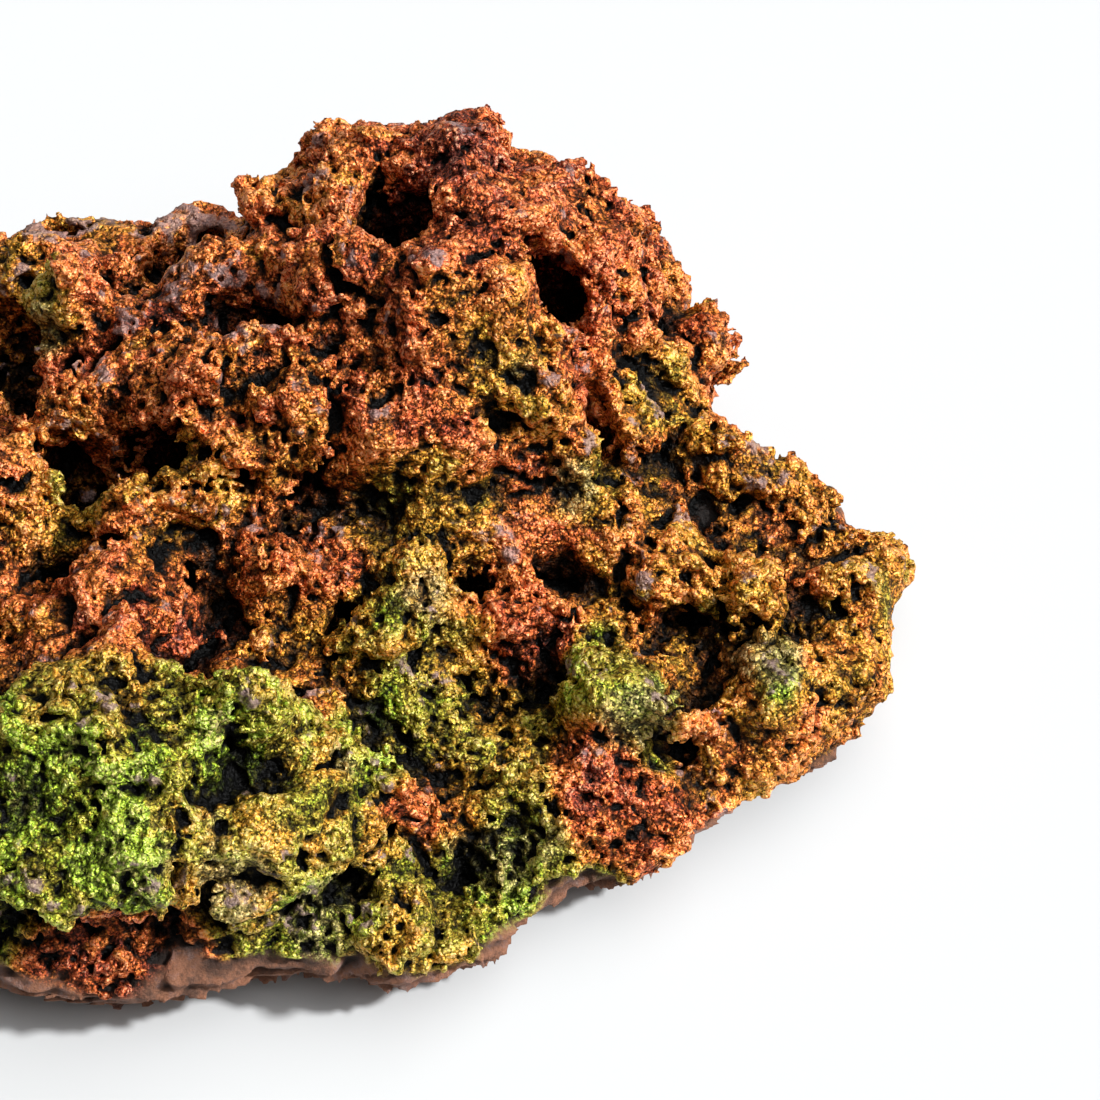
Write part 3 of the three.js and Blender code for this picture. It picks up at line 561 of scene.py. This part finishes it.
def shape_surface(sizes):
    """Points and faces of the finished surface, with what the finish needs to know at each point."""
    low, high = (np.array(corner) / MM for corner in frame_box)
    coarse = Grid(low, high, COARSE_PITCH)
    fine = Grid(low, high, sizes.pitch)
    form = broad_form(coarse, sizes.deepen)
    count = int(np.prod(fine.shape))
    parts = (np.arange(start, min(start + CHUNK, count)) for start in range(0, count, CHUNK))
    field = np.concatenate([coarse.read(form, fine.places(part)) for part in parts])
    carve(field, fine, form, coarse, sizes)
    field = field.reshape(fine.shape)

    volume = vdb.FloatGrid(FAR)
    volume.copyFromArray(field, ijk=tuple(int(v) for v in fine.low))
    volume.transform = vdb.createLinearTransform(voxelSize=fine.pitch)
    points, triangles, quads = volume.convertToPolygons(isovalue=0.0, adaptivity=sizes.thinning)
    # A triangle is kept as a face whose last corner repeats.
    faces = np.concatenate([quads, triangles[:, [0, 1, 2, 2]]]).astype(np.int64)
    faces = faces[largest_body(len(points), faces)]
    used, renumbered = np.unique(faces, return_inverse=True)
    points, faces = points[used], renumbered.reshape(faces.shape)

    # The finish darkens the colour by these openness values, as painted shade in creases and hollows.
    near_open, wide_open = openness(field, fine, low, high, points)
    facts = {
        "near_open": near_open,
        "wide_open": wide_open,
        "crust": crusted_share(points, coarse),
        "film": film_at(points, coarse, sizes),
        "dull": patched(points, DULL_PATCHES, coarse),
        "rubbed": patched(points, RUBBED_PATCHES, coarse),
    }
    return points, faces, facts


def film_at(places, coarse, sizes):
    """How far along the row of film colours each place is."""
    spots = places + np.float32(FILM_BEND) * coarse.pushes("film bend", places)
    total = np.full(len(places), 1e-6, np.float32)
    weighted = total * 0.4
    for name, x, y, z, reach in FILM_PATCHES:
        weight = np.exp(-(distance_to(spots, x, y, z, tall=0.5**0.5) ** 2) / (0.55 * reach * reach))
        total += weight
        weighted += weight * FILM[name]
    own = scattered(bend_places(places, coarse, sizes), SPACINGS["film cells"], "film cells")[2]
    film = weighted / total + 0.2 * (own - 0.5) + 0.07 * coarse.noise("film", places)
    return np.clip(film, 0, 1)


def patched(places, patches, coarse):
    """1 inside the ragged patches, 0 outside them."""
    ragged = 0.45 * coarse.noise("patches", places)
    share = np.zeros(len(places), np.float32)
    for x, y, z, reach in patches:
        away = distance_to(places, x, y, z, tall=0.5**0.5) / reach
        share = np.maximum(share, 1 - smooth_step(away + ragged, 0.55, 1.1))
    return share


def make_piece(name, points, faces, facts):
    """Makes one piece of the surface from its faces and hands it to the frame."""
    sides = np.where(faces[:, 2] == faces[:, 3], 3, 4)
    kept = np.ones(faces.shape, bool)
    kept[:, 3] = sides == 4
    used, loops = np.unique(faces[kept], return_inverse=True)
    mesh = bpy.data.meshes.new(name)
    mesh.vertices.add(len(used))
    mesh.vertices.foreach_set("co", (points[used] * MM).astype(np.float32).ravel())
    mesh.loops.add(len(loops))
    mesh.loops.foreach_set("vertex_index", loops.astype(np.int32))
    mesh.polygons.add(len(faces))
    mesh.polygons.foreach_set("loop_start", (np.cumsum(sides) - sides).astype(np.int32))
    mesh.update(calc_edges=True)
    mesh.validate()
    for label, values in facts.items():
        layer = mesh.attributes.new(label, "FLOAT", "POINT")
        layer.data.foreach_set("value", values[used].astype(np.float32))
    mesh.shade_smooth()
    piece = bpy.data.objects.new(name, mesh)
    bpy.context.scene.collection.objects.link(piece)
    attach(piece, "root")
    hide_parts(NODE)
    return piece


def make_pieces(sizes):
    """Makes the surface and cuts it into the pieces, with as many triangles in each."""
    points, faces, facts = shape_surface(sizes)
    faces = faces[np.argsort(points[faces[:, 0], 0], kind="stable")]
    triangles = np.cumsum(np.where(faces[:, 2] == faces[:, 3], 1, 2))
    turn = np.searchsorted(triangles, triangles[-1] * np.arange(len(PIECES) + 1) / len(PIECES), side="right")
    return [
        make_piece(name, points, faces[turn[number] : turn[number + 1]], facts)
        for number, name in enumerate(PIECES)
    ]


# ---- finish ----
# Widths of the finish's patterns, in metres.
TRACT_WIDTH = 5.0 * MM  # lighter and darker tracts of the crust
RUBBED_WIDTH = 3.6 * MM  # places where the film is rubbed off the tips
VEIN_WIDTH = 3.0 * MM  # veins of the broken body
SWELL_WIDTH = 0.9 * MM  # swells under the grains
FINE_WIDTH = 0.5 * MM  # the finest mottle
BEAD_BEND, BEAD_BEND_WIDTH = 1.3 * MM, 1.1 * MM  # how far the grains' pattern is bent, and how often

# Shades of the broken body's veins on either side of its main colour: place on the ramp, colour.
DARK_VEINS = [(0.3, "#3A2820"), (0.42, "#74503E")]
BODY_PLACE = 0.52
PALE_VEINS = [(0.6, "#926E62"), (0.7, "#BA9A8C")]

# The sockets of a Mix node that mixes colours.
MIX_SHARE, MIX_FIRST, MIX_SECOND, MIXED = 0, 6, 7, 2


def add_node(tree, kind, settings=None, links=None):
    """Adds a node, sets its properties and socket values, and links its sockets to other nodes' outputs."""
    node = tree.nodes.new(kind)
    for name, value in (settings or {}).items():
        if isinstance(name, int) or name in node.inputs.keys():
            node.inputs[name].default_value = value
        else:
            setattr(node, name, value)
    for name, output in (links or {}).items():
        tree.links.new(output, node.inputs[name])
    return node


def set_stops(ramp, stops):
    """Gives a colour ramp these positions and colours."""
    elements = ramp.color_ramp.elements
    elements.remove(elements[1])
    elements[0].position, elements[0].color = stops[0]
    for position, stop_colour in stops[1:]:
        elements.new(position).color = stop_colour


def combine(tree, operation, start, spans):
    """Adds or multiplies values, each stretched over its span, from a starting output if there is one.

    A span holds the value, the two numbers that it runs between and what they become.
    """
    result = start
    for value, low, high, least, most in spans:
        span = {"From Min": low, "From Max": high, "To Min": least, "To Max": most}
        part = add_node(tree, "ShaderNodeMapRange", span, {"Value": value}).outputs["Result"]
        if result is not None:
            part = add_node(tree, "ShaderNodeMath", {"operation": operation}, {0: result, 1: part}).outputs[0]
        result = part
    return result


def crust_colour(tree, finish, facts, place, crystal, bead, fine):
    """The film's colour on the crystals: painted shade in the creases and hollows between them, painted glints
    on bright crystals, and grey where the film is rubbed off.
    """
    crystal_own = add_node(tree, "ShaderNodeSeparateColor", {}, {"Color": crystal.outputs["Color"]}).outputs
    bead_own = add_node(tree, "ShaderNodeSeparateColor", {}, {"Color": bead.outputs["Color"]}).outputs
    film = combine(tree, "ADD", facts["film"], [
        (crystal_own["Red"], 0.0, 1.0, -0.05, 0.04),
        (bead_own["Red"], 0.0, 1.0, -0.06, 0.05),
        (fine, 0.35, 0.65, -0.08, 0.05),
    ])
    ramp = add_node(tree, "ShaderNodeValToRGB", {}, {"Fac": film})
    set_stops(ramp, [(position, getattr(finish, name)) for name, position in FILM.items()])
    dulled = combine(tree, "MULTIPLY", facts["dull"], [(bead_own["Blue"], 0.0, 0.8, 0.3, 0.85)])
    film_colour = add_node(tree, "ShaderNodeMix", {"data_type": "RGBA", MIX_SECOND: finish.dull},
                           {MIX_SHARE: dulled, MIX_FIRST: ramp.outputs["Color"]}).outputs[MIXED]

    tract = add_node(tree, "ShaderNodeTexNoise", {"Scale": 1 / TRACT_WIDTH, "Detail": 1.0}, {"Vector": place})
    # Painted shade: the colour darkens in creases and hollows (near_open, wide_open) and towards the edges of
    # the beads. The crystals' own brightness runs up into painted glints. The mottle, the tracts and the
    # beads' own brightness are random tone.
    shade = combine(tree, "MULTIPLY", None, [
        (facts["near_open"], -0.22, 0.34, 0.0, 1.45),
        (facts["wide_open"], -0.26, 0.1, 0.1, 1.0),
        (crystal_own["Green"], 0.1, 0.95, 0.25, 1.9),
        (fine, 0.4, 0.6, 0.4, 1.6),
        (tract.outputs["Fac"], 0.35, 0.65, 0.65, 1.8),
        (bead.outputs["Distance"], 0.35, 0.7, 1.15, 0.2),
        (bead_own["Green"], 0.0, 1.0, 0.75, 1.4),
    ])
    held = combine(tree, "MULTIPLY", None, [(shade, 0.0, 1.1, 0.0, 1.1)])
    shaded = add_node(tree, "ShaderNodeMix", {"data_type": "RGBA", "blend_type": "MULTIPLY", MIX_SHARE: 1.0},
                      {MIX_FIRST: film_colour, MIX_SECOND: held}).outputs[MIXED]
    # Painted highlights: where the painted brightness runs above 1 on some crystals, the film's colour turns
    # pale towards the glint colour.
    pale = add_node(tree, "ShaderNodeMix", {"data_type": "RGBA", MIX_SHARE: 0.35, MIX_SECOND: finish.glint},
                    {MIX_FIRST: film_colour}).outputs[MIXED]
    lit = combine(tree, "MULTIPLY", None, [
        (shade, 1.0, 2.2, 0.0, 1.0),
        (crystal_own["Blue"], 0.1, 0.6, 0.2, 1.0),
    ])
    glinting = add_node(tree, "ShaderNodeMix", {"data_type": "RGBA"},
                        {MIX_SHARE: lit, MIX_FIRST: shaded, MIX_SECOND: pale}).outputs[MIXED]

    ragged = {"Scale": 1 / RUBBED_WIDTH, "Detail": 5.0, "Roughness": 0.6}
    rubbed = add_node(tree, "ShaderNodeTexNoise", ragged, {"Vector": place}).outputs["Fac"]
    rubbed = combine(tree, "ADD", rubbed, [(facts["rubbed"], 0.0, 1.0, 0.0, 0.16)])
    worn = combine(tree, "MULTIPLY", None, [
        (rubbed, 0.6, 0.64, 0.0, 1.0),
        (facts["near_open"], 0.0, 0.2, 0.0, 0.85),
    ])
    mottle = combine(tree, "MULTIPLY", None, [(fine, 0.4, 0.6, 0.0, 1.0)])
    greys = {"data_type": "RGBA", MIX_FIRST: finish.worn_dark, MIX_SECOND: finish.worn}
    grey = add_node(tree, "ShaderNodeMix", greys, {MIX_SHARE: mottle}).outputs[MIXED]
    whole = add_node(tree, "ShaderNodeMix", {"data_type": "RGBA"},
                     {MIX_SHARE: worn, MIX_FIRST: glinting, MIX_SECOND: grey})
    return whole.outputs[MIXED], worn


def body_colour(tree, finish, facts, place):
    """Dull brown of the broken body: darker veins, paler bruises, and painted shade in its creases and
    hollows.
    """
    veins = add_node(tree, "ShaderNodeTexNoise", {"Scale": 1 / VEIN_WIDTH, "Detail": 8.0, "Roughness": 0.75},
                     {"Vector": place})
    ramp = add_node(tree, "ShaderNodeValToRGB", {}, {"Fac": veins.outputs["Fac"]})
    dark, pale = ([(spot, hex_colour(shade)) for spot, shade in side] for side in (DARK_VEINS, PALE_VEINS))
    set_stops(ramp, [*dark, (BODY_PLACE, finish.body), *pale])
    # Painted shade: darker in the body's creases and hollows.
    shade = combine(tree, "MULTIPLY", None, [
        (facts["near_open"], -0.3, 0.25, 0.1, 1.1),
        (facts["wide_open"], -0.2, 0.2, 0.35, 1.0),
    ])
    return add_node(tree, "ShaderNodeMix", {"data_type": "RGBA", "blend_type": "MULTIPLY", MIX_SHARE: 1.0},
                    {MIX_FIRST: ramp.outputs["Color"], MIX_SECOND: shade}).outputs[MIXED]


def goethite_material(finish):
    """Goethite, grown as a drusy crust and tarnished, over its massive body, broken.

    The crust's tiny metallic crystals glint through an iridescent film, partly by their own reflections and
    partly by painted highlights in their colour, with painted shade in its creases and hollows. The body is
    dull and earthy, with painted shade in its hollows.
    """
    material = bpy.data.materials.new("goethite_drusy_tarnished")
    material.use_nodes = True
    tree = material.node_tree
    tree.nodes.clear()
    facts = {
        name: add_node(tree, "ShaderNodeAttribute", {"attribute_name": name}).outputs["Fac"]
        for name in ("film", "dull", "rubbed", "near_open", "wide_open", "crust")
    }

    # The real crystals are down to 0.05 mm; they are drawn as coarse as they need to show.
    place = add_node(tree, "ShaderNodeTexCoord").outputs["Object"]
    crystal = add_node(tree, "ShaderNodeTexVoronoi", {"Scale": 1 / finish.crystal}, {"Vector": place})
    bend = add_node(tree, "ShaderNodeTexNoise", {"Scale": 1 / BEAD_BEND_WIDTH, "Detail": 2.0},
                    {"Vector": place})
    bent = add_node(tree, "ShaderNodeVectorMath", {"operation": "MULTIPLY_ADD", 1: (BEAD_BEND,) * 3},
                    {0: bend.outputs["Color"], 2: place})
    bead = add_node(tree, "ShaderNodeTexVoronoi", {"Scale": 1 / finish.bead}, {"Vector": bent.outputs[0]})
    fine = add_node(tree, "ShaderNodeTexNoise", {"Scale": 1 / FINE_WIDTH, "Detail": 4.0, "Roughness": 1.0},
                    {"Vector": place}).outputs["Fac"]
    crust, worn = crust_colour(tree, finish, facts, place, crystal, bead, fine)
    surface = add_node(tree, "ShaderNodeMix", {"data_type": "RGBA"}, {
        MIX_SHARE: facts["crust"], MIX_FIRST: body_colour(tree, finish, facts, place), MIX_SECOND: crust,
    }).outputs[MIXED]

    # Each crystal leans its own way, so that some of them catch the light.
    lean = add_node(tree, "ShaderNodeVectorMath", {"operation": "SUBTRACT", 1: (0.5, 0.5, 0.5)},
                    {0: crystal.outputs["Color"]})
    lean = add_node(tree, "ShaderNodeVectorMath", {"operation": "SCALE", "Scale": finish.sparkle},
                    {0: lean.outputs[0]})
    normal = add_node(tree, "ShaderNodeNewGeometry").outputs["Normal"]
    tilted = add_node(tree, "ShaderNodeVectorMath", {"operation": "ADD"}, {0: normal, 1: lean.outputs[0]})
    tilted = add_node(tree, "ShaderNodeVectorMath", {"operation": "NORMALIZE"}, {0: tilted.outputs[0]})
    swell = add_node(tree, "ShaderNodeTexNoise", {"Scale": 1 / SWELL_WIDTH, "Detail": 1.0}, {"Vector": place})
    heads = combine(tree, "ADD", None, [
        (swell.outputs["Fac"], 0.0, 1.0, 0.0, 0.8), (bead.outputs["Distance"], 0.0, 1.0, 0.0, -0.8),
    ])
    earthy = combine(tree, "MULTIPLY", None, [(fine, 0.0, 1.0, 0.0, 1.5)])
    height = add_node(tree, "ShaderNodeMix", {"data_type": "FLOAT"}, {0: facts["crust"], 2: earthy, 3: heads})
    bump = add_node(tree, "ShaderNodeBump", {"Strength": 1.0, "Distance": finish.bump},
                    {"Height": height.outputs[0], "Normal": tilted.outputs[0]})
    metallic = combine(tree, "MULTIPLY", facts["crust"], [(worn, 0.0, 1.0, 0.78, 0.2)])
    roughness = combine(tree, "MULTIPLY", None, [(facts["crust"], 0.0, 1.0, 0.75, 0.62)])
    shader = add_node(tree, "ShaderNodeBsdfPrincipled", {}, {
        "Base Color": surface, "Metallic": metallic, "Roughness": roughness, "Normal": bump.outputs[0],
    })
    add_node(tree, "ShaderNodeOutputMaterial", {}, {"Surface": shader.outputs[0]})
    return material


def paper_material(paper_colour):
    """Matt paper, rolled: an even pale ground that takes soft shadows without gloss."""
    material = bpy.data.materials.new("paper_matt")
    material.use_nodes = True
    shader = material.node_tree.nodes["Principled BSDF"]
    shader.inputs["Base Color"].default_value = paper_colour
    shader.inputs["Roughness"].default_value = 0.9
    return material


# ---- studio, in metres ----
FLOOR_REACH = 3.0
# Name, setting that holds its strength, apparent width in degrees, where it shines from.
SUNS = [("key_light", "key", 5, (0.30, -0.01, 0.28)), ("soft_light", "soft", 70, (0.14, 0.04, 0.30))]
CAMERA_TARGET = Vector((0.0231, 0.00145, 0.012))
CAMERA_AWAY = 0.273
CAMERA_RISE = np.radians(58)  # above the level
LENS, SENSOR, NEAREST = 100, 36, 0.01  # focal length and sensor width in millimetres, clip start in metres


def aim(thing, spot):
    """Turns a light or camera to look at a spot."""
    thing.rotation_euler = (Vector(spot) - thing.location).to_track_quat("-Z", "Y").to_euler()


def lay_floor(scene, floor_colour):
    """Lays the paper that the specimen rests on."""
    corners = [(-1, -1), (1, -1), (1, 1), (-1, 1)]
    mesh = bpy.data.meshes.new("studio_floor")
    mesh.from_pydata([(x * FLOOR_REACH, y * FLOOR_REACH, 0) for x, y in corners], [], [(0, 1, 2, 3)])
    mesh.materials.append(paper_material(floor_colour))
    floor = bpy.data.objects.new("studio_floor", mesh)
    scene.collection.objects.link(floor)


def hang_sun(scene, name, strength, width, location):
    """Hangs a light as wide as these degrees, shining from its location to the middle."""
    light = bpy.data.lights.new(name, "SUN")
    light.energy = strength
    light.angle = np.radians(width)
    sun = bpy.data.objects.new(name, light)
    sun.location = location
    aim(sun, (0, 0, 0))
    scene.collection.objects.link(sun)


def light_world(scene, fill, backdrop):
    """Even light from all round, weaker than the bright ground that is seen behind the floor."""
    world = bpy.data.worlds.new("studio")
    world.use_nodes = True
    background = world.node_tree.nodes["Background"]
    background.inputs["Color"].default_value = (1, 1, 1, 1)
    seen = add_node(world.node_tree, "ShaderNodeLightPath").outputs["Is Camera Ray"]
    strength = combine(world.node_tree, "MULTIPLY", None, [(seen, 0.0, 1.0, fill, backdrop)])
    world.node_tree.links.new(strength, background.inputs["Strength"])
    scene.world = world


def place_camera(scene):
    """Sets the camera up in front of the specimen, looking down on it."""
    camera = bpy.data.cameras.new("camera")
    camera.lens = LENS
    camera.sensor_width = SENSOR
    camera.clip_start = NEAREST
    stand = bpy.data.objects.new("camera", camera)
    stand.location = CAMERA_TARGET + CAMERA_AWAY * Vector((0, -np.cos(CAMERA_RISE), np.sin(CAMERA_RISE)))
    aim(stand, CAMERA_TARGET)
    scene.collection.objects.link(stand)
    scene.camera = stand


# ---- add-on ----
class GOETHITE_OT_specimen(bpy.types.Operator):
    """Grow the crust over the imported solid"""

    bl_idname = "goethite.specimen"
    bl_label = "Grow specimen"

    def execute(self, context):
        pieces = make_pieces(in_millimetres(context.scene.goethite_crust))
        material = goethite_material(context.scene.goethite_finish)
        for piece in pieces:
            piece.data.materials.append(material)
        return {"FINISHED"}


class GOETHITE_OT_stage(bpy.types.Operator):
    """Set up the floor, the lights and the camera"""

    bl_idname = "goethite.stage"
    bl_label = "Set up studio"

    def execute(self, context):
        scene = context.scene
        studio = scene.goethite_studio
        lay_floor(scene, studio.floor)
        for name, setting, width, location in SUNS:
            hang_sun(scene, name, getattr(studio, setting), width, location)
        light_world(scene, studio.fill, studio.backdrop)
        place_camera(scene)
        scene.view_settings.view_transform = "Standard"
        return {"FINISHED"}


class GOETHITE_PT_panel(bpy.types.Panel):
    """Sizes and colours of the specimen and its studio"""

    bl_idname = "GOETHITE_PT_panel"
    bl_label = "Rough goethite"
    bl_space_type = "VIEW_3D"
    bl_region_type = "UI"
    bl_category = "Goethite"

    def draw(self, context):
        scene = context.scene
        for settings in (scene.goethite_crust, scene.goethite_finish, scene.goethite_studio):
            for name in type(settings).__annotations__:
                self.layout.prop(settings, name)
        self.layout.operator(GOETHITE_OT_stage.bl_idname)
        self.layout.operator(GOETHITE_OT_specimen.bl_idname)


SETTINGS = {
    "goethite_crust": CrustSettings,
    "goethite_finish": FinishSettings,
    "goethite_studio": StudioSettings,
}
CLASSES = (*SETTINGS.values(), GOETHITE_OT_specimen, GOETHITE_OT_stage, GOETHITE_PT_panel)


def register():
    for item in CLASSES:
        bpy.utils.register_class(item)
    for name, group in SETTINGS.items():
        setattr(bpy.types.Scene, name, bpy.props.PointerProperty(type=group))


def unregister():
    for name in SETTINGS:
        delattr(bpy.types.Scene, name)
    for item in reversed(CLASSES):
        bpy.utils.unregister_class(item)


def main():
    """Makes the studio and the specimen."""
    register()
    bpy.ops.goethite.stage()
    bpy.ops.goethite.specimen()


if __name__ == "__main__":
    main()
